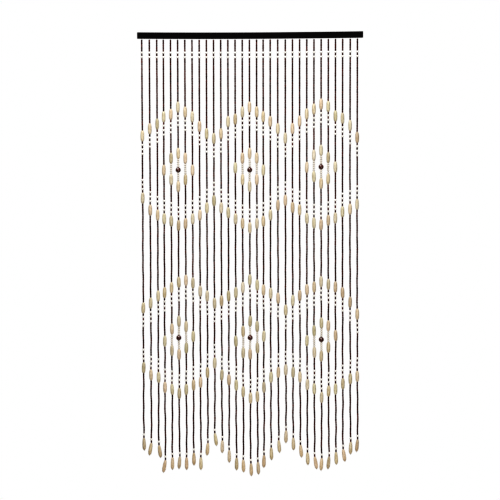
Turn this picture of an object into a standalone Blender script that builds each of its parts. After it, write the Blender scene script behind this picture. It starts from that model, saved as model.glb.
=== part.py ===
"""Bead curtain for a doorway: 31 strings of wooden beads under a black slat.

Metres, +Z up. The origin is the middle of the slat's top edge, +X is the viewer's right, and the
front faces -Y. A depth is measured down a string from the slat's underside.
"""
import math

import bmesh
import bpy

# Slat
SLAT_WIDTH = 0.900
SLAT_HEIGHT = 0.025
SLAT_DEPTH = 0.012
SLAT_EDGE = 0.001
SLAT_BOW = 0.0025
SLAT_STEPS = 11
STRIP_HEIGHT = 0.0032
STRIP_STEPS = 5
PIECE_GAP = 0.0003

# Strings
STRINGS = 31
STRING_PITCH = 0.0286
STRINGS_OFF_CENTRE = -0.003
THREAD_GAP = 0.0035
THREAD_RADIUS = 0.0010
ROOT_DEPTH = 0.0016
SHOULDER = 0.0024
RUN_RADIUS = 0.0032
CHAIN_RADIUS = 0.0047

# How far a string stands to the right of its even place, for each one that is over 1 mm off it
STRING_SHIFT = {
    1: 0.0015,
    2: 0.0025,
    17: -0.0025,
    18: -0.0030,
    19: -0.0015,
    29: 0.0015,
    30: 0.0015,
}

# Bead sizes
DARK_LENGTH = 0.0096
WHITE_LENGTH = 0.0083
WHITE_WIDTH = 0.0100
OVAL_LENGTH = 0.0440
OVAL_WIDTH = 0.0147
ROUND_LENGTH = 0.0212
ROUND_WIDTH = 0.0204
DROP_LENGTH = 0.0495
DROP_WIDTH = 0.0145

# How the strings hang
CURTAIN_DROP = 1.740
LEAN_FIRST = 0.0013
LEAN_LAST = -0.0072
WAVE_HEIGHT = 0.0008
WAVE_LENGTH = 0.310
KINK_HEIGHT = 0.0007
KINK_LENGTH = 0.085
DEPTH_WAVE = 0.0020
PHASE_STEP = 2.4

# The pattern repeats over ten strings: the middle of a diamond is step 0 and its side is step 5.
REPEAT = 10
FIRST_SIDE = 5

# Dark beads in each run of a string, for each step. The run across each of the two diamonds counts
# as one above and one below the beads inside the diamond, and where it has none they make one run.
#       lead, upper above, upper below, between, lower above, lower below, tail
CHART = {
    0: (18, 9, 7, 18, 6, 8, 21),
    1: (20, 9, 8, 22, 7, 7, 23),
    2: (22, 12, 10, 25, 11, 9, 24),
    3: (24, 0, 23, 29, 0, 19, 24),
    4: (27, 0, 17, 34, 0, 15, 24),
    5: (31, 0, 10, 41, 0, 9, 23),
}

# The curtain is strung unevenly: how many beads lower than the chart each row of a string hangs
# string: first row, second row, third row, fourth row, hem
UNEVEN_ROWS = {
    0: (-1, -1, -1, -1, 1),
    1: (0, 1, 1, 0, 0),
    2: (1, 0, 0, -1, -1),
    3: (0, 0, 1, 0, 2),
    4: (1, -1, 0, -1, 0),
    5: (0, -1, 0, -2, -1),
    6: (0, 0, -3, -1, 0),
    7: (0, 0, -3, -1, -1),
    8: (2, 0, -2, 1, 4),
    9: (2, 0, -2, -1, 0),
    10: (0, 0, -3, -3, -1),
    11: (2, 0, 0, 0, -1),
    12: (0, -1, 0, 0, 1),
    13: (1, 0, 1, -1, 1),
    14: (0, 0, 0, 0, 1),
    15: (0, 0, -1, 0, 2),
    16: (0, 0, -1, 2, 2),
    17: (0, 1, 0, 0, 0),
    18: (0, 0, -1, -1, 0),
    19: (0, -1, -1, -1, -1),
    20: (0, 0, 0, 0, -2),
    21: (0, 0, 0, -1, -2),
    22: (0, -2, 0, -1, -1),
    23: (-1, 0, 0, -1, -1),
    24: (-1, 0, 0, -1, 0),
    25: (-1, -1, 0, 0, 0),
    26: (-2, -1, -1, 0, 0),
    27: (0, 0, -1, 1, -1),
    28: (-1, -1, -1, 2, 1),
    29: (-1, 1, 1, 2, 0),
    30: (0, 2, 2, 3, 2),
}

# The same for the beads inside the upper and inside the lower diamond, if they hang unevenly
UNEVEN_INSIDE = {
    6: (0, -1),
    7: (0, -2),
    13: (-1, 0),
    14: (0, 1),
    16: (0, -1),
    17: (0, -2),
    23: (-1, 0),
    24: (-1, 1),
    25: (-1, 1),
    26: (0, -1),
    27: (-1, -2),
}

# How far a drop's tip swings to the right, in degrees, for each string that isn't straight
DROP_SWING = {1: -8, 2: 8, 3: -8, 5: -3, 9: -3, 10: 7, 15: 3, 16: 5, 17: -2, 19: 4, 22: 7,
              24: 11, 25: -4, 26: -5, 27: 3, 28: 8, 30: -4}

# Runs inside a diamond, for the three steps that have any
INNER = {
    0: [("oval", 1), ("white", 4), ("round", 1), ("white", 4), ("oval", 1)],
    1: [("oval", 1), ("white", 5), ("oval", 1)],
    2: [("oval", 1)],
}

# Three dark and three white beads, one after the other, stand beside each row of ovals.
LONE_DARK = ("dark", 1)
LONE_WHITE = ("white", 1)
KNOT_PAIRS = 3
TOP_BEADS = 5

# Outlines down a bead: part of its length, part of its half width
OUTLINES = {
    "oval": [(0.28, 1.0), (0.74, 0.98)],
    "round": [(0.18, 0.72), (0.50, 1.0), (0.82, 0.72)],
    "drop": [(0.15, 0.76), (0.40, 0.95), (0.68, 1.0), (0.90, 0.74), (1.0, 0.22)],
}
BEAD_SIZES = {
    "dark": (DARK_LENGTH, 2 * RUN_RADIUS),
    "white": (WHITE_LENGTH, WHITE_WIDTH),
    "oval": (OVAL_LENGTH, OVAL_WIDTH),
    "round": (ROUND_LENGTH, ROUND_WIDTH),
    "drop": (DROP_LENGTH, DROP_WIDTH),
}

# A node of strings for each diamond across the curtain: name, first string, last string
SECTIONS = [
    ("strings_left", 0, 10),
    ("strings_middle", 11, 20),
    ("strings_right", 21, 30),
]


def clear_scene():
    for obj in list(bpy.data.objects):
        bpy.data.objects.remove(obj, do_unlink=True)


def make_material(name, colour, roughness):
    material = bpy.data.materials.new(name)
    material.use_nodes = True
    shader = material.node_tree.nodes["Principled BSDF"]
    shader.inputs["Base Color"].default_value = (*colour, 1.0)
    shader.inputs["Roughness"].default_value = roughness
    shader.inputs["Metallic"].default_value = 0.0
    return material


def make_object(name, bm, materials):
    bmesh.ops.recalc_face_normals(bm, faces=bm.faces)
    mesh = bpy.data.meshes.new(name)
    bm.to_mesh(mesh)
    bm.free()
    for material in materials:
        mesh.materials.append(material)
    obj = bpy.data.objects.new(name, mesh)
    bpy.context.scene.collection.objects.link(obj)
    return obj


def even_x(number):
    """The even place of a string; a half number is midway between two strings."""
    return STRINGS_OFF_CENTRE + (number - (STRINGS - 1) / 2) * STRING_PITCH


def string_x(string):
    return even_x(string) + STRING_SHIFT.get(string, 0.0)


def bow_at(x):
    """The slat's ends stand this much higher than its middle, under the weight of the beads."""
    return SLAT_BOW * (2 * x / SLAT_WIDTH) ** 2


def diamond_step(string):
    return abs(string % REPEAT - FIRST_SIDE)


def diamond_runs(step, above, below):
    """Runs from one row of ovals to the next across a diamond, with this many plain dark beads."""
    knots_down = [LONE_DARK, LONE_WHITE] * KNOT_PAIRS
    knots_up = [LONE_WHITE, LONE_DARK] * KNOT_PAIRS
    if step not in INNER:
        return knots_down + [("dark", above + below)] + knots_up
    return knots_down + [("dark", above)] + INNER[step] + [("dark", below)] + knots_up


def string_runs(string):
    """Every run of like beads down a string, as its kind and how many."""
    step = diamond_step(string)
    lead, upper_above, upper_below, between, lower_above, lower_below, tail = CHART[step]
    first, second, third, fourth, hem = UNEVEN_ROWS[string]
    upper, lower = UNEVEN_INSIDE.get(string, (0, 0))
    runs = [("dark", TOP_BEADS), LONE_WHITE, LONE_DARK, LONE_WHITE]
    runs += [("dark", lead + first), ("oval", 1)]
    runs += diamond_runs(step, upper_above + upper - first, upper_below + second - upper)
    runs += [("oval", 1), ("dark", between + third - second), ("oval", 1)]
    runs += diamond_runs(step, lower_above + lower - third, lower_below + fourth - lower)
    runs += [("oval", 1), ("dark", tail + hem - fourth), LONE_WHITE, LONE_DARK, ("drop", 1)]
    return runs


def run_outline(kind, count, top, between_whites):
    """Rings of a run as depth and radius, without the rings where it meets its neighbours."""
    length, width = BEAD_SIZES[kind]
    if kind == "dark":
        return [(top + length / 2, RUN_RADIUS)] if between_whites else []
    if kind == "white" and count == 1:
        return [(top + length / 2, width / 2)]
    if kind == "white":
        inset = length / 3
        return [(top + inset, CHAIN_RADIUS), (top + count * length - inset, CHAIN_RADIUS)]
    return [(top + part * length, share * width / 2) for part, share in OUTLINES[kind]]


def string_outline(string):
    """Rings of the whole string as depth, radius and the kind of bead above the ring."""
    top = THREAD_GAP
    rings = [
        (-ROOT_DEPTH, THREAD_RADIUS, "dark"),
        (top, THREAD_RADIUS, "dark"),
        (top + SHOULDER, RUN_RADIUS, "dark"),
    ]
    runs = string_runs(string)
    for before, run, after in zip([None] + runs, runs, runs[1:] + [None]):
        kind, count = run
        between_whites = before == after == LONE_WHITE
        outline = run_outline(kind, count, top, between_whites)
        rings += [(depth, radius, kind) for depth, radius in outline]
        top += count * BEAD_SIZES[kind][0]
        within_knots = {run, after} == {LONE_DARK, LONE_WHITE}
        if kind != "drop" and not within_knots:
            rings.append((top, RUN_RADIUS, kind))
    return rings


def sway(string, depth):
    """How far a string stands to the right and to the back of a plumb line at this depth."""
    fall = depth / CURTAIN_DROP
    phase = PHASE_STEP * string
    lean = LEAN_FIRST + (LEAN_LAST - LEAN_FIRST) * string / (STRINGS - 1)
    wave = WAVE_HEIGHT * math.sin(math.tau * depth / WAVE_LENGTH + phase)
    kink = KINK_HEIGHT * math.sin(math.tau * depth / KINK_LENGTH + 3 * phase)
    right = lean * fall * (2 - fall) + (wave + kink) * fall
    back = DEPTH_WAVE * fall * math.sin(math.tau * depth / CURTAIN_DROP + 2 * phase)
    return right, back


def add_string(bm, string, kinds):
    """One four-sided strand with its beads' outline, corners to the front and to the sides."""
    x = string_x(string)
    under = bow_at(x) - SLAT_HEIGHT
    rings = string_outline(string)
    drop_top = rings[-1][0] - DROP_LENGTH
    swing = math.tan(math.radians(DROP_SWING.get(string, 0)))
    last = None
    for depth, radius, kind in rings:
        right, back = sway(string, max(depth, 0.0))
        right += swing * max(depth - drop_top, 0.0)
        centre_x = x + right
        z = under - depth
        ring = [
            bm.verts.new((centre_x + radius, back, z)),
            bm.verts.new((centre_x, back + radius, z)),
            bm.verts.new((centre_x - radius, back, z)),
            bm.verts.new((centre_x, back - radius, z)),
        ]
        if last is None:
            bm.faces.new(ring)
        else:
            for side in range(4):
                other = (side + 1) % 4
                face = bm.faces.new((last[side], last[other], ring[other], ring[side]))
                face.material_index = kinds[kind]
        last = ring
    bm.faces.new(reversed(last))


def bar_mesh(section, start, end, steps):
    """A bar along X with this section of (y, z) points, following the slat's bow."""
    bm = bmesh.new()
    loops = []
    for index in range(steps + 1):
        x = start + (end - start) * index / steps
        loops.append([bm.verts.new((x, y, z + bow_at(x))) for y, z in section])
    bm.faces.new(loops[0])
    bm.faces.new(reversed(loops[-1]))
    for near, far in zip(loops, loops[1:]):
        for side in range(len(section)):
            other = (side + 1) % len(section)
            bm.faces.new((near[side], far[side], far[other], near[other]))
    return bm


def build_slat(paint):
    """The slat down to where the strips of the strings begin, its top edges eased."""
    half = SLAT_DEPTH / 2
    low = -SLAT_HEIGHT + STRIP_HEIGHT + PIECE_GAP
    section = [(-half, low), (half, low), (half, -SLAT_EDGE), (half - SLAT_EDGE, 0.0),
               (-half + SLAT_EDGE, 0.0), (-half, -SLAT_EDGE)]
    bm = bar_mesh(section, -SLAT_WIDTH / 2, SLAT_WIDTH / 2, SLAT_STEPS)
    return make_object("header_slat", bm, [paint])


def build_section(name, first, last, paint, bead_materials):
    """The strings of one diamond, their roots fused into a strip of the slat's lower edge."""
    half = SLAT_DEPTH / 2
    low = -SLAT_HEIGHT
    high = low + STRIP_HEIGHT
    section = [(-half + SLAT_EDGE, low), (half - SLAT_EDGE, low), (half, low + SLAT_EDGE),
               (half, high), (-half, high), (-half, low + SLAT_EDGE)]
    start = even_x(first - 0.5) + PIECE_GAP / 2 if first > 0 else -SLAT_WIDTH / 2
    end = even_x(last + 0.5) - PIECE_GAP / 2 if last < STRINGS - 1 else SLAT_WIDTH / 2
    strip = make_object(name, bar_mesh(section, start, end, STRIP_STEPS), [paint])

    kinds = {kind: index for index, kind in enumerate(bead_materials)}
    bm = bmesh.new()
    for string in range(first, last + 1):
        add_string(bm, string, kinds)
    strands = make_object(name + "_strands", bm, bead_materials.values())
    strands.hide_render = True
    strands.display_type = "WIRE"
    join = strip.modifiers.new("join strands", "BOOLEAN")
    join.operation = "UNION"
    join.solver = "EXACT"
    join.material_mode = "TRANSFER"
    join.object = strands
    return strip


def build_curtain():
    clear_scene()
    paint = make_material("black_paint", (0.006, 0.006, 0.006), 0.35)
    dark_wood = make_material("dark_bead_wood", (0.030, 0.014, 0.010), 0.40)
    white_bead = make_material("white_bead", (0.80, 0.76, 0.70), 0.30)
    natural_wood = make_material("natural_wood", (0.62, 0.47, 0.28), 0.50)
    round_wood = make_material("round_bead_wood", (0.060, 0.016, 0.012), 0.20)
    bead_materials = {
        "dark": dark_wood,
        "white": white_bead,
        "oval": natural_wood,
        "round": round_wood,
        "drop": natural_wood,
    }
    build_slat(paint)
    for name, first, last in SECTIONS:
        build_section(name, first, last, paint, bead_materials)


build_curtain()
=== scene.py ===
"""Looks of the bead curtain: every bead and thread of its 31 strings, and its black slat.

The camera looks along +Y at the curtain's front, +X is to its right, and the strings hang along -Z.
"""
import math

import bmesh
import bpy
import numpy as np
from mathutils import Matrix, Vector


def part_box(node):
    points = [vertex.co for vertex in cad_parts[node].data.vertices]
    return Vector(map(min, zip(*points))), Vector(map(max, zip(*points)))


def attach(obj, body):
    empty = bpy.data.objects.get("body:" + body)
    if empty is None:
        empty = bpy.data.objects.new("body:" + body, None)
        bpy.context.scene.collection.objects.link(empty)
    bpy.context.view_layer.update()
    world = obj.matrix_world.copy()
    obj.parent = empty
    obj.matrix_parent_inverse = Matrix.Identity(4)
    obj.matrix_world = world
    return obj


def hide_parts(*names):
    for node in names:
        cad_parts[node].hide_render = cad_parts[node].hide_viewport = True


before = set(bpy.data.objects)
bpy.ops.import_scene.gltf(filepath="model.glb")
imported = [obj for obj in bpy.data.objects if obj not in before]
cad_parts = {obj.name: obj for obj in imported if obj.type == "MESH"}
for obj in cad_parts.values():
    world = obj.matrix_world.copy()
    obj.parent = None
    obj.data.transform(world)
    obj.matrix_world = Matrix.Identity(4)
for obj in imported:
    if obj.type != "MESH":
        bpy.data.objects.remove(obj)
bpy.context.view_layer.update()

# Slat: its width, depth and bow are the frame's
slat_low, slat_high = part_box("header_slat")
SLAT_WIDTH = slat_high.x - slat_low.x
SLAT_DEPTH = slat_high.y - slat_low.y
SLAT_BOW = slat_high.z
SLAT_HEIGHT = 0.025
SLAT_STEPS = 24
SLAT_EDGE = 0.0012

# Strings
STRINGS = 31
STRING_PITCH = 0.0286
STRINGS_OFF_CENTRE = -0.003
THREAD_GAP = 0.0035
THREAD_RADIUS = 0.00045
THREAD_SIDES = 6
THREAD_STEP = 0.020
THREAD_INTO_SLAT = SLAT_HEIGHT / 4
KNOT_RADIUS = 0.0014
KNOT_SEGMENTS = 10
KNOT_RINGS = 7

# STRING_SHIFT, CHART, UNEVEN_ROWS and UNEVEN_INSIDE weren't designed. A program measured them in the
# photo. Where DROP_SWING comes from isn't known. All five are an open fault.

# How far a string stands to the right of its even place, for each one that is over 1 mm off it
STRING_SHIFT = {
    1: 0.0015,
    2: 0.0025,
    17: -0.0025,
    18: -0.0030,
    19: -0.0015,
    29: 0.0015,
    30: 0.0015,
}

# How the strings hang
CURTAIN_DROP = 1.740
LEAN_FIRST = 0.0013
LEAN_LAST = -0.0072
WAVE_HEIGHT = 0.0008
WAVE_LENGTH = 0.310
KINK_HEIGHT = 0.0007
KINK_LENGTH = 0.085
DEPTH_WAVE = 0.0020
PHASE_STEP = 2.4

# The pattern repeats over ten strings: the middle of a diamond is step 0 and its side is step 5.
REPEAT = 10
FIRST_SIDE = 5

# Dark beads in each run of a string, for each step. The run across each of the two diamonds counts
# as one above and one below the beads inside the diamond, and where it has none they make one run.
#       lead, upper above, upper below, between, lower above, lower below, tail
CHART = {
    0: (18, 9, 7, 18, 6, 8, 21),
    1: (20, 9, 8, 22, 7, 7, 23),
    2: (22, 12, 10, 25, 11, 9, 24),
    3: (24, 0, 23, 29, 0, 19, 24),
    4: (27, 0, 17, 34, 0, 15, 24),
    5: (31, 0, 10, 41, 0, 9, 23),
}

# The curtain is strung unevenly: how many beads lower than the chart each row of a string hangs
# string: first row, second row, third row, fourth row, hem
UNEVEN_ROWS = {
    0: (-1, -1, -1, -1, 1),
    1: (0, 1, 1, 0, 0),
    2: (1, 0, 0, -1, -1),
    3: (0, 0, 1, 0, 2),
    4: (1, -1, 0, -1, 0),
    5: (0, -1, 0, -2, -1),
    6: (0, 0, -3, -1, 0),
    7: (0, 0, -3, -1, -1),
    8: (2, 0, -2, 1, 4),
    9: (2, 0, -2, -1, 0),
    10: (0, 0, -3, -3, -1),
    11: (2, 0, 0, 0, -1),
    12: (0, -1, 0, 0, 1),
    13: (1, 0, 1, -1, 1),
    14: (0, 0, 0, 0, 1),
    15: (0, 0, -1, 0, 2),
    16: (0, 0, -1, 2, 2),
    17: (0, 1, 0, 0, 0),
    18: (0, 0, -1, -1, 0),
    19: (0, -1, -1, -1, -1),
    20: (0, 0, 0, 0, -2),
    21: (0, 0, 0, -1, -2),
    22: (0, -2, 0, -1, -1),
    23: (-1, 0, 0, -1, -1),
    24: (-1, 0, 0, -1, 0),
    25: (-1, -1, 0, 0, 0),
    26: (-2, -1, -1, 0, 0),
    27: (0, 0, -1, 1, -1),
    28: (-1, -1, -1, 2, 1),
    29: (-1, 1, 1, 2, 0),
    30: (0, 2, 2, 3, 2),
}

# The same for the beads inside the upper and inside the lower diamond, if they hang unevenly
UNEVEN_INSIDE = {
    6: (0, -1),
    7: (0, -2),
    13: (-1, 0),
    14: (0, 1),
    16: (0, -1),
    17: (0, -2),
    23: (-1, 0),
    24: (-1, 1),
    25: (-1, 1),
    26: (0, -1),
    27: (-1, -2),
}

# How far a drop's tip swings to the right, in degrees, for each string that isn't straight
DROP_SWING = {1: -8, 2: 8, 3: -8, 5: -3, 9: -3, 10: 7, 15: 3, 16: 5, 17: -2, 19: 4, 22: 7,
              24: 11, 25: -4, 26: -5, 27: 3, 28: 8, 30: -4}

# Runs inside a diamond, for the three steps that have any
INNER = {
    0: [("oval", 1), ("chain", 4), ("round", 1), ("chain", 4), ("oval", 1)],
    1: [("oval", 1), ("chain", 5), ("oval", 1)],
    2: [("oval", 1)],
}
LONE_DARK = ("dark", 1)
LONE_WHITE = ("white", 1)
KNOT_PAIRS = 3
TOP_BEADS = 5

# Outlines of the beads: part of the length from the top, part of the half width
OUTLINES = {
    "dark": [(0, 0.80), (0.10, 0.90), (0.30, 0.99), (0.5, 1.0), (0.70, 0.99), (0.90, 0.90), (1, 0.80)],
    "white": [(0, 0.34), (0.08, 0.58), (0.22, 0.84), (0.36, 0.97), (0.5, 1.0), (0.64, 0.97),
              (0.78, 0.84), (0.92, 0.58), (1, 0.34)],
    "chain": [(0, 0.30), (0.08, 0.52), (0.22, 0.80), (0.36, 0.96), (0.5, 1.0), (0.64, 0.96),
              (0.78, 0.80), (0.92, 0.52), (1, 0.30)],
    "oval": [(0, 0.46), (0.04, 0.62), (0.12, 0.82), (0.22, 0.92), (0.35, 0.98), (0.5, 1.0),
             (0.64, 0.99), (0.78, 0.93), (0.88, 0.84), (0.95, 0.66), (1, 0.46)],
    "round": [(0, 0.30), (0.05, 0.48), (0.15, 0.72), (0.30, 0.92), (0.5, 1.0), (0.70, 0.92),
              (0.85, 0.72), (0.95, 0.48), (1, 0.30)],
    "drop": [(0, 0.45), (0.05, 0.62), (0.15, 0.78), (0.25, 0.87), (0.38, 0.94), (0.52, 0.99),
             (0.65, 1.0), (0.76, 0.97), (0.85, 0.86), (0.92, 0.68), (0.97, 0.46), (1, 0.24)],
}

# The mesh of each kind of bead and how its beads vary
# kind: pitch on the string, width, sides, rings, width spread, tilt in degrees, bore radius
BEADS = {
    "dark": (0.0096, 0.0066, 10, 7, 0.05, 3.0, None),
    "white": (0.0083, 0.0102, 14, 9, 0.03, 4.0, None),
    "chain": (0.0083, 0.0100, 14, 9, 0.03, 4.0, None),
    "oval": (0.0440, 0.0147, 20, 15, 0.04, 0.8, 0.0011),
    "round": (0.0212, 0.0204, 28, 19, 0.01, 1.0, 0.0013),
    "drop": (0.0495, 0.0145, 22, 19, 0.03, 0.0, 0.0011),
}

# Part of its pitch that a bead fills
SLACK = 0.985
BORE_DEPTH = 0.0015

# Three groups of strings, one for each diamond across: the node that they stand for, its strings
SECTIONS = {
    "strings_left": range(0, 11),
    "strings_middle": range(11, 21),
    "strings_right": range(21, 31),
}

SEED = 31


# The stringing pattern

def string_x(string):
    even = STRINGS_OFF_CENTRE + (string - (STRINGS - 1) / 2) * STRING_PITCH
    return even + STRING_SHIFT.get(string, 0.0)


def bow_at(x):
    return SLAT_BOW * (2 * x / SLAT_WIDTH) ** 2


def diamond_step(string):
    return abs(string % REPEAT - FIRST_SIDE)


def diamond_runs(step, above, below):
    """Runs from one row of ovals to the next across a diamond, with this many plain dark beads."""
    knots_down = [LONE_DARK, LONE_WHITE] * KNOT_PAIRS
    knots_up = [LONE_WHITE, LONE_DARK] * KNOT_PAIRS
    if step not in INNER:
        return knots_down + [("dark", above + below)] + knots_up
    return knots_down + [("dark", above)] + INNER[step] + [("dark", below)] + knots_up


def string_runs(string):
    """Every run of like beads down a string, as its kind and how many."""
    step = diamond_step(string)
    lead, upper_above, upper_below, between, lower_above, lower_below, tail = CHART[step]
    first, second, third, fourth, hem = UNEVEN_ROWS[string]
    upper, lower = UNEVEN_INSIDE.get(string, (0, 0))
    runs = [("dark", TOP_BEADS), LONE_WHITE, LONE_DARK, LONE_WHITE]
    runs += [("dark", lead + first), ("oval", 1)]
    runs += diamond_runs(step, upper_above + upper - first, upper_below + second - upper)
    runs += [("oval", 1), ("dark", between + third - second), ("oval", 1)]
    runs += diamond_runs(step, lower_above + lower - third, lower_below + fourth - lower)
    runs += [("oval", 1), ("dark", tail + hem - fourth), LONE_WHITE, LONE_DARK, ("drop", 1)]
    return runs


def beads_on(string):
    """Each bead of a string as its kind and the depths of its two ends."""
    beads = []
    top = THREAD_GAP
    for kind, count in string_runs(string):
        pitch = BEADS[kind][0]
        for _ in range(count):
            beads.append((kind, top, top + pitch))
            top += pitch
    return beads


def hang_point(string, depth):
    """The point of a string this far below the slat."""
    fall = depth / CURTAIN_DROP
    phase = PHASE_STEP * string
    lean = LEAN_FIRST + (LEAN_LAST - LEAN_FIRST) * string / (STRINGS - 1)
    wave = WAVE_HEIGHT * math.sin(math.tau * depth / WAVE_LENGTH + phase)
    kink = KINK_HEIGHT * math.sin(math.tau * depth / KINK_LENGTH + 3 * phase)
    right = lean * fall * (2 - fall) + (wave + kink) * fall
    back = DEPTH_WAVE * fall * math.sin(math.tau * depth / CURTAIN_DROP + 2 * phase)
    x = string_x(string)
    return Vector((x + right, back, bow_at(x) - SLAT_HEIGHT - depth))


def bead_ends(string, kind, top, bottom):
    """The two ends of a bead's own axis. A drop swings to one side from its top."""
    upper = hang_point(string, top)
    lower = hang_point(string, bottom)
    if kind == "drop":
        swing = math.radians(DROP_SWING.get(string, 0))
        lower.x += math.tan(swing) * (bottom - top)
    return upper, lower


# Meshes of turned beads

def smooth_outline(points, count):
    """Points on a smooth curve through the outline, closer together towards its ends."""
    parts, shares = np.array(points, dtype=float).T
    slopes = np.gradient(shares, parts)
    at = (1 - np.cos(np.linspace(0, math.pi, count))) / 2
    index = np.clip(np.searchsorted(parts, at, side="right") - 1, 0, len(parts) - 2)
    width = parts[index + 1] - parts[index]
    t = (at - parts[index]) / width
    start = (1 + 2 * t) * (1 - t) ** 2 * shares[index] + t * (1 - t) ** 2 * width * slopes[index]
    end = t * t * (3 - 2 * t) * shares[index + 1] + t * t * (t - 1) * width * slopes[index + 1]
    return at, start + end


def turned_bead(kind):
    """A bead of the kind around the Z axis, its middle at the origin: points, faces, part along."""
    pitch, bead_width, sides, rings, _, _, bore = BEADS[kind]
    length = pitch * SLACK
    at, shares = smooth_outline(OUTLINES[kind], rings)
    heights = length / 2 - at * length
    radii = shares * bead_width / 2
    if bore:
        rim = [length / 2, length / 2 - BORE_DEPTH]
        heights = np.concatenate([rim[::-1], heights, [-height for height in rim]])
        radii = np.concatenate([[bore, bore], radii, [bore, bore]])
    turn = math.tau * np.arange(sides) / sides
    circle = np.stack([np.cos(turn), np.sin(turn)], axis=1)
    points = np.zeros((len(heights), sides, 3))
    points[:, :, :2] = circle[None] * radii[:, None, None]
    points[:, :, 2] = heights[:, None]
    faces = [list(range(sides))]
    for ring in range(len(heights) - 1):
        for side in range(sides):
            other = (side + 1) % sides
            near, far = ring * sides, (ring + 1) * sides
            faces.append([near + side, far + side, far + other, near + other])
    last = (len(heights) - 1) * sides
    faces.append([last + side for side in reversed(range(sides))])
    return points.reshape(-1, 3), faces


def bead_axes(upper, lower, tilt, spin):
    """A bead's own X, Y and Z axes: Z along the string, tilted a little, and turned by the spin."""
    up = (upper - lower).normalized()
    up = (up + Vector((tilt[0], tilt[1], 0.0))).normalized()
    side = up.cross(Vector((0.0, 1.0, 0.0))).normalized()
    front = up.cross(side)
    across = side * math.cos(spin) + front * math.sin(spin)
    return np.array([across, up.cross(across), up])


def stamp_beads(name, kind, strings, rng):
    """All beads of a kind on these strings as one mesh, with what its material reads."""
    points, faces = turned_bead(kind)
    spread, tilt_limit = BEADS[kind][4:6]
    placed, grain, tones, tints, along = [], [], [], [], []
    part = 0.5 - points[:, 2] / (points[:, 2].max() - points[:, 2].min())
    for string in strings:
        for bead_kind, top, bottom in beads_on(string):
            if bead_kind != kind:
                continue
            upper, lower = bead_ends(string, kind, top, bottom)
            tilt = np.radians(rng.uniform(-tilt_limit, tilt_limit, 2))
            axes = bead_axes(upper, lower, tilt, rng.uniform(0, math.tau))
            width = 1 + rng.uniform(-spread, spread)
            shape = points * (width, width, 1.0)
            placed.append(shape @ axes + np.array((upper + lower) / 2))
            grain.append(points * 1000 + rng.uniform(-500, 500, 3))
            tones.append(np.full(len(points), rng.uniform(0, 1)))
            tints.append(np.full(len(points), rng.uniform(0, 1)))
            along.append(part)
    copies = np.arange(len(placed)) * len(points)
    all_faces = [[corner + first for corner in face] for first in copies.tolist() for face in faces]
    mesh = bpy.data.meshes.new(name)
    mesh.from_pydata(np.concatenate(placed).tolist(), [], all_faces)
    write_attribute(mesh, "grain", "FLOAT_VECTOR", "vector", np.concatenate(grain))
    write_attribute(mesh, "tone", "FLOAT", "value", np.concatenate(tones))
    write_attribute(mesh, "tint", "FLOAT", "value", np.concatenate(tints))
    write_attribute(mesh, "along", "FLOAT", "value", np.concatenate(along))
    mesh.shade_smooth()
    mesh.set_sharp_from_angle(angle=math.radians(50))
    return link(name, mesh)


def write_attribute(mesh, name, kind, field, values):
    attribute = mesh.attributes.new(name, kind, "POINT")
    attribute.data.foreach_set(field, values.astype(np.float32).ravel())


def link(name, mesh):
    obj = bpy.data.objects.new(name, mesh)
    bpy.context.scene.collection.objects.link(obj)
    return obj


# Threads and slat

def thread_points(string):
    """The middle of a thread, from inside the slat to its drop, and the place of the knot below."""
    beads = beads_on(string)
    _, top, bottom = beads[-1]
    count = math.ceil(top / THREAD_STEP)
    line = [hang_point(string, top * step / count) for step in range(count + 1)]
    line[0].z += THREAD_INTO_SLAT
    upper, lower = bead_ends(string, "drop", top, bottom)
    axis = (lower - upper).normalized()
    return line, lower + axis * KNOT_RADIUS / 2


def add_tube(bm, line, radius, sides):
    """A closed tube along a nearly upright line."""
    last = None
    for point in line:
        ring = []
        for side in range(sides):
            turn = math.tau * side / sides
            ring.append(bm.verts.new(point + Vector((math.cos(turn), math.sin(turn), 0)) * radius))
        if last is None:
            bm.faces.new(ring)
        else:
            for side in range(sides):
                other = (side + 1) % sides
                bm.faces.new((last[side], ring[side], ring[other], last[other]))
        last = ring
    bm.faces.new(reversed(last))


def make_threads(name, strings):
    bm = bmesh.new()
    for string in strings:
        line, knot = thread_points(string)
        add_tube(bm, line, THREAD_RADIUS, THREAD_SIDES)
        made = bmesh.ops.create_uvsphere(
            bm, u_segments=KNOT_SEGMENTS, v_segments=KNOT_RINGS, radius=KNOT_RADIUS)
        bmesh.ops.translate(bm, verts=made["verts"], vec=knot)
    bmesh.ops.recalc_face_normals(bm, faces=bm.faces)
    mesh = bpy.data.meshes.new(name)
    bm.to_mesh(mesh)
    bm.free()
    mesh.shade_smooth()
    return link(name, mesh)


def make_slat():
    """The whole slat with its lower edge, bowed by the weight, its edges rounded by wear."""
    half = SLAT_DEPTH / 2
    section = [(-half, -SLAT_HEIGHT), (half, -SLAT_HEIGHT), (half, 0.0), (-half, 0.0)]
    bm = bmesh.new()
    loops = []
    for step in range(SLAT_STEPS + 1):
        x = SLAT_WIDTH * (step / SLAT_STEPS - 0.5)
        loops.append([bm.verts.new((x, y, z + bow_at(x))) for y, z in section])
    bm.faces.new(loops[0])
    bm.faces.new(reversed(loops[-1]))
    for near, far in zip(loops, loops[1:]):
        for side in range(4):
            other = (side + 1) % 4
            bm.faces.new((near[side], far[side], far[other], near[other]))
    bmesh.ops.recalc_face_normals(bm, faces=bm.faces)
    mesh = bpy.data.meshes.new("slat")
    bm.to_mesh(mesh)
    bm.free()
    slat = link("slat", mesh)
    bevel = slat.modifiers.new("rounded edges", "BEVEL")
    bevel.width = SLAT_EDGE
    bevel.segments = 3
    bevel.limit_method = "ANGLE"
    bevel.angle_limit = math.radians(40)
    mesh.shade_smooth()
    mesh.set_sharp_from_angle(angle=math.radians(30))
    return slat


# Materials

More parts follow.
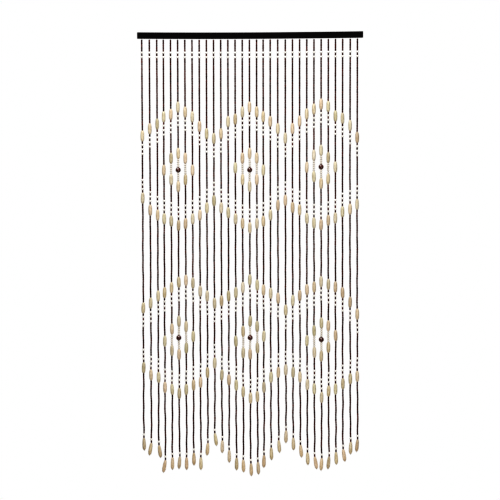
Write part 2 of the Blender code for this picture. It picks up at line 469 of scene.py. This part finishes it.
def new_material(name):
    material = bpy.data.materials.new(name)
    material.use_nodes = True
    tree = material.node_tree
    return material, tree, tree.nodes["Principled BSDF"]


def add_node(tree, kind, **inputs):
    node = tree.nodes.new(kind)
    for name, value in inputs.items():
        node.inputs[name.replace("_", " ")].default_value = value
    return node


def read_attribute(tree, name):
    node = tree.nodes.new("ShaderNodeAttribute")
    node.attribute_name = name
    return node


def ramp(tree, fac, stops):
    """A colour ramp with (position, colour) stops."""
    node = tree.nodes.new("ShaderNodeValToRGB")
    while len(node.color_ramp.elements) < len(stops):
        node.color_ramp.elements.new(0.5)
    for element, (position, colour) in zip(node.color_ramp.elements, stops):
        element.position = position
        element.color = (*colour, 1.0)
    tree.links.new(fac, node.inputs["Fac"])
    return node.outputs["Color"]


def multiply(tree, first, second):
    node = tree.nodes.new("ShaderNodeMix")
    node.data_type = "RGBA"
    node.blend_type = "MULTIPLY"
    node.inputs["Factor"].default_value = 1.0
    tree.links.new(first, node.inputs["A"])
    tree.links.new(second, node.inputs["B"])
    return node.outputs["Result"]


def noise(tree, vector, stretch, detail, roughness):
    """Noise over coordinates scaled by the stretch along X, Y and Z."""
    mapping = tree.nodes.new("ShaderNodeMapping")
    mapping.inputs["Scale"].default_value = stretch
    tree.links.new(vector, mapping.inputs["Vector"])
    node = add_node(tree, "ShaderNodeTexNoise", Scale=1.0, Detail=detail, Roughness=roughness)
    tree.links.new(mapping.outputs["Vector"], node.inputs["Vector"])
    return node.outputs["Fac"]


def bump(tree, shader, height, strength, distance):
    node = add_node(tree, "ShaderNodeBump", Strength=strength, Distance=distance)
    tree.links.new(height, node.inputs["Height"])
    tree.links.new(node.outputs["Normal"], shader.inputs["Normal"])


def vary_roughness(tree, shader, fac, low, high):
    node = tree.nodes.new("ShaderNodeMapRange")
    node.inputs["To Min"].default_value = low
    node.inputs["To Max"].default_value = high
    tree.links.new(fac, node.inputs["Value"])
    tree.links.new(node.outputs["Result"], shader.inputs["Roughness"])


def turned_wood(name, fibres, tones, tints, ends, rough, bump_depth):
    """Wood with streaks down each bead, and a tone and a tint of its own for each bead.

    fibres, tones, tints and ends are ramps: streak, bead brightness, bead hue, place along the bead.
    """
    material, tree, shader = new_material(name)
    grain = read_attribute(tree, "grain").outputs["Vector"]
    fine = noise(tree, grain, (1.3, 1.3, 0.07), 5.0, 0.65)
    broad = noise(tree, grain, (0.30, 0.30, 0.06), 2.0, 0.5)
    colour = ramp(tree, fine, fibres)
    colour = multiply(tree, colour, ramp(tree, broad, [(0.35, (0.76, 0.72, 0.68)), (0.60, (1, 1, 1))]))
    colour = multiply(tree, colour, ramp(tree, read_attribute(tree, "tone").outputs["Fac"], tones))
    colour = multiply(tree, colour, ramp(tree, read_attribute(tree, "tint").outputs["Fac"], tints))
    colour = multiply(tree, colour, ramp(tree, read_attribute(tree, "along").outputs["Fac"], ends))
    tree.links.new(colour, shader.inputs["Base Color"])
    vary_roughness(tree, shader, fine, *rough)
    bump(tree, shader, fine, 0.5, bump_depth)
    return material, shader


def natural_wood(name, shade, painted_lower_shading):
    fibres = [(0.34, (0.51, 0.385, 0.23)), (0.46, (0.765, 0.665, 0.50)), (0.60, (0.885, 0.81, 0.67)),
              (0.76, (0.735, 0.615, 0.44))]
    tones = [(0.0, (0.76, 0.74, 0.70)), (0.5, (0.95, 0.94, 0.92)), (1.0, (1.0, 1.0, 1.0))]
    tones = [(place, [a * b for a, b in zip(colour, shade)]) for place, colour in tones]
    tints = [(0.0, (1.0, 0.97, 0.84)), (0.35, (1.0, 0.91, 0.86)), (0.65, (0.94, 0.97, 0.84)),
             (1.0, (1.0, 1.0, 0.98))]
    # Darker at the very top and bottom of each bead. The stop at 0.95 is painted shading on the lower
    # part of each bead, set by the last argument, standing in for how the light from above falls there.
    ends = [(0.0, (0.88, 0.80, 0.72)), (0.04, (1, 1, 1)), (0.60, (1, 1, 1)),
            (0.95, painted_lower_shading), (1.0, (0.90, 0.83, 0.77))]
    material, shader = turned_wood(name, fibres, tones, tints, ends, (0.36, 0.55), 0.00010)
    shader.inputs["Coat Weight"].default_value = 0.12
    shader.inputs["Coat Roughness"].default_value = 0.30
    return material


def dark_wood():
    fibres = [(0.35, (0.030, 0.007, 0.003)), (0.55, (0.074, 0.016, 0.007)), (0.75, (0.125, 0.029, 0.013))]
    tones = [(0.0, (0.45, 0.42, 0.42)), (0.7, (1.0, 0.95, 0.92)), (1.0, (1.6, 1.35, 1.25))]
    tints = [(0.0, (1.15, 0.90, 0.95)), (0.6, (1.0, 1.0, 1.0)), (1.0, (0.90, 1.0, 0.98))]
    ends = [(0.0, (0.45, 0.45, 0.45)), (0.10, (1, 1, 1)), (0.90, (1, 1, 1)), (1.0, (0.45, 0.45, 0.45))]
    material, shader = turned_wood("dark_bead_wood", fibres, tones, tints, ends, (0.40, 0.60), 0.00006)
    shader.inputs["Specular IOR Level"].default_value = 0.08
    return material


def round_wood():
    fibres = [(0.30, (0.050, 0.010, 0.005)), (0.55, (0.110, 0.022, 0.011)), (0.80, (0.180, 0.040, 0.020))]
    tones = [(0.0, (0.8, 0.8, 0.8)), (1.0, (1.1, 1.1, 1.1))]
    tints = [(0.0, (1.0, 0.9, 0.9)), (1.0, (1.0, 1.0, 1.0))]
    ends = [(0.0, (0.4, 0.4, 0.4)), (0.06, (1, 1, 1)), (0.94, (1, 1, 1)), (1.0, (0.4, 0.4, 0.4))]
    material, shader = turned_wood("round_bead_wood", fibres, tones, tints, ends, (0.16, 0.24), 0.00004)
    shader.inputs["Coat Weight"].default_value = 1.0
    shader.inputs["Coat Roughness"].default_value = 0.16
    shader.inputs["Coat IOR"].default_value = 1.85
    return material


def white_bead(name, dull, bright, end, painted_shade_part):
    """Ivory white with faint clouds, darker at both ends: painted shade where a bead meets its thread and
    the beads beside it.
    """
    material, tree, shader = new_material(name)
    grain = read_attribute(tree, "grain").outputs["Vector"]
    clouds = noise(tree, grain, (0.25, 0.25, 0.25), 3.0, 0.5)
    colour = ramp(tree, clouds, [(0.35, dull), (0.65, bright)])
    tones = [(0.0, (0.86, 0.85, 0.83)), (1.0, (1, 1, 1))]
    colour = multiply(tree, colour, ramp(tree, read_attribute(tree, "tone").outputs["Fac"], tones))
    # Painted shade: both ends of each bead are darker, over this part of its length.
    ends = [(0.0, end), (painted_shade_part, (1, 1, 1)), (1 - painted_shade_part, (1, 1, 1)), (1.0, end)]
    colour = multiply(tree, colour, ramp(tree, read_attribute(tree, "along").outputs["Fac"], ends))
    tree.links.new(colour, shader.inputs["Base Color"])
    vary_roughness(tree, shader, clouds, 0.22, 0.32)
    bump(tree, shader, clouds, 0.3, 0.00008)
    shader.inputs["Coat Weight"].default_value = 0.3
    shader.inputs["Coat Roughness"].default_value = 0.12
    return material


def black_paint():
    """Black paint over straight grain that runs along the slat."""
    material, tree, shader = new_material("black_slat_paint")
    place = tree.nodes.new("ShaderNodeTexCoord").outputs["Object"]
    grain = noise(tree, place, (18.0, 900.0, 900.0), 6.0, 0.6)
    colour = ramp(tree, grain, [(0.35, (0.006, 0.0056, 0.0054)), (0.70, (0.018, 0.016, 0.015))])
    tree.links.new(colour, shader.inputs["Base Color"])
    vary_roughness(tree, shader, grain, 0.42, 0.60)
    shader.inputs["Specular IOR Level"].default_value = 0.03
    bump(tree, shader, grain, 0.35, 0.00015)
    return material


def nylon():
    """Clear nylon line, with faint cloudy stretches."""
    material, tree, shader = new_material("nylon_line")
    place = tree.nodes.new("ShaderNodeTexCoord").outputs["Object"]
    clouds = noise(tree, place, (400.0, 400.0, 60.0), 2.0, 0.5)
    colour = ramp(tree, clouds, [(0.3, (0.74, 0.73, 0.70)), (0.7, (0.88, 0.88, 0.86))])
    tree.links.new(colour, shader.inputs["Base Color"])
    vary_roughness(tree, shader, clouds, 0.18, 0.30)
    shader.inputs["Transmission Weight"].default_value = 0.5
    shader.inputs["IOR"].default_value = 1.53
    return material


# Floor, lights and camera

FLOOR_Z = -2.0
FLOOR_RADIUS = 1.0
FLOOR_MIDDLE_Y = -0.3
PHOTO_SIDE = 500
METRES_PER_PIXEL = 0.900 / 225.9
SLAT_TOP_PIXEL = 32.5
SLAT_MIDDLE_PIXEL = 250.1
CAMERA_DISTANCE = 7.0
CAMERA_ROLL = 0.28
SENSOR = 36.0
SURROUND_LIGHT = 0.17
SURROUND_SEEN = 1.0
DISPLAY_GAMMA = 0.75

# Points on the display's tone curve: a level of light and the level that it is shown at
TONE_CURVE = [(0.06, 0.025), (0.15, 0.095), (0.27, 0.235), (0.42, 0.41)]


def make_floor():
    bm = bmesh.new()
    bmesh.ops.create_circle(bm, cap_ends=True, segments=96, radius=FLOOR_RADIUS)
    bmesh.ops.translate(bm, verts=bm.verts, vec=(0.0, FLOOR_MIDDLE_Y, FLOOR_Z))
    mesh = bpy.data.meshes.new("floor")
    bm.to_mesh(mesh)
    bm.free()
    floor = link("floor", mesh)
    material, tree, shader = new_material("pale_floor")
    place = tree.nodes.new("ShaderNodeTexCoord").outputs["Object"]
    clouds = noise(tree, place, (2.0, 2.0, 2.0), 2.0, 0.5)
    colour = ramp(tree, clouds, [(0.0, (0.57, 0.54, 0.50)), (1.0, (0.61, 0.58, 0.54))])
    tree.links.new(colour, shader.inputs["Base Color"])
    shader.inputs["Roughness"].default_value = 0.9
    mesh.materials.append(material)


def make_world():
    """A plain white surround that lights softly from everywhere."""
    world = bpy.data.worlds.new("studio")
    world.use_nodes = True
    tree = world.node_tree
    surround = tree.nodes["Background"]
    surround.inputs["Color"].default_value = (1.0, 1.0, 1.0, 1.0)
    surround.inputs["Strength"].default_value = SURROUND_LIGHT
    seen = tree.nodes.new("ShaderNodeBackground")
    seen.inputs["Color"].default_value = (1.0, 1.0, 1.0, 1.0)
    seen.inputs["Strength"].default_value = SURROUND_SEEN
    path = tree.nodes.new("ShaderNodeLightPath")
    mix = tree.nodes.new("ShaderNodeMixShader")
    tree.links.new(path.outputs["Is Camera Ray"], mix.inputs["Fac"])
    tree.links.new(surround.outputs["Background"], mix.inputs[1])
    tree.links.new(seen.outputs["Background"], mix.inputs[2])
    tree.links.new(mix.outputs["Shader"], tree.nodes["World Output"].inputs["Surface"])
    bpy.context.scene.world = world


def make_light(name, place, aim, size, power):
    light = bpy.data.lights.new(name, "AREA")
    light.shape = "DISK"
    light.size = size
    light.energy = power
    obj = bpy.data.objects.new(name, light)
    obj.location = place
    obj.rotation_euler = (Vector(aim) - Vector(place)).to_track_quat("-Z", "Y").to_euler()
    bpy.context.scene.collection.objects.link(obj)
    return obj


def make_camera():
    """Straight in front of the curtain, far back, with the photo's framing and slight roll."""
    scene = bpy.context.scene
    data = bpy.data.cameras.new("camera")
    data.sensor_width = SENSOR
    data.lens = SENSOR * CAMERA_DISTANCE / (PHOTO_SIDE * METRES_PER_PIXEL)
    data.clip_end = 50.0
    middle = PHOTO_SIDE / 2
    right = (SLAT_MIDDLE_PIXEL - middle) * METRES_PER_PIXEL
    up = (middle - SLAT_TOP_PIXEL) * METRES_PER_PIXEL
    roll = math.radians(CAMERA_ROLL)
    x = -(right * math.cos(roll) + up * math.sin(roll))
    z = -(up * math.cos(roll) - right * math.sin(roll))
    camera = bpy.data.objects.new("camera", data)
    camera.location = (x, -CAMERA_DISTANCE, z)
    camera.rotation_euler = (math.radians(90), roll, 0.0)
    scene.collection.objects.link(camera)
    scene.camera = camera


def set_tone():
    """Plain display colours with deeper darks, so that the thin strings stay dark on white."""
    view = bpy.context.scene.view_settings
    view.view_transform = "Standard"
    view.gamma = DISPLAY_GAMMA
    view.use_curve_mapping = True
    tone = view.curve_mapping.curves[3]
    for light, shown in TONE_CURVE:
        tone.points.new(light, shown)
    view.curve_mapping.update()


# Putting it together

def dress(piece, material, slot, *nodes):
    piece.data.materials.append(material)
    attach(piece, "root")
    if nodes:
        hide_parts(*nodes)


def make_curtain():
    rng = np.random.default_rng(SEED)
    # Painted light and shade: the ovals have the lower part of each bead painted lighter. The drops use a
    # darker, warmer copy of the same wood, with the lower part of each drop painted darker, as painted
    # shade for the dimmer light at the hem.
    wood = natural_wood("natural_wood", (0.95, 0.965, 1.0), (1.05, 1.04, 1.06))
    painted_shade_drop_wood = natural_wood("painted_shade_drop_wood", (0.92, 0.89, 0.90), (0.92, 0.90, 0.89))
    # The lone whites and the chain beads are one white. The chain copy is painted darker all over and
    # much darker at its ends: painted shade for the shade on small beads strung in a row.
    white = white_bead("white_bead", (0.92, 0.89, 0.83), (0.98, 0.96, 0.92), (0.66, 0.58, 0.52), 0.08)
    chain = white_bead("chain_bead_painted_shade", (0.75, 0.69, 0.60), (0.85, 0.79, 0.71), (0.25, 0.20, 0.18), 0.20)
    finishes = {
        "dark": (dark_wood(), "dark_bead"),
        "white": (white, "white_bead"),
        "chain": (chain, "white_bead"),
        "oval": (wood, "natural_wood"),
        "round": (round_wood(), "round_bead"),
        "drop": (painted_shade_drop_wood, "natural_wood"),
    }
    dress(make_slat(), black_paint(), "black_slat", "header_slat")
    line = nylon()
    for node, strings in SECTIONS.items():
        section = node.replace("strings_", "")
        for kind, (material, slot) in finishes.items():
            beads = stamp_beads(f"{kind}_beads_{section}", kind, strings, rng)
            dress(beads, material, slot, node)
        dress(make_threads(f"threads_{section}", strings), line, "thread", node)


make_world()
make_floor()
make_light("key", (-0.7, -2.6, 2.5), (0.0, 0.0, 0.0), 1.8, 206.0)
make_light("fill", (1.6, -3.4, -0.9), (0.0, 0.0, -0.9), 1.6, 42.0)
back_light = make_light("back", (2.2, 3.2, 2.4), (0.0, 0.0, -0.8), 2.0, 260.0)
back_light.visible_glossy = False
make_camera()
make_curtain()
set_tone()
bpy.context.view_layer.update()
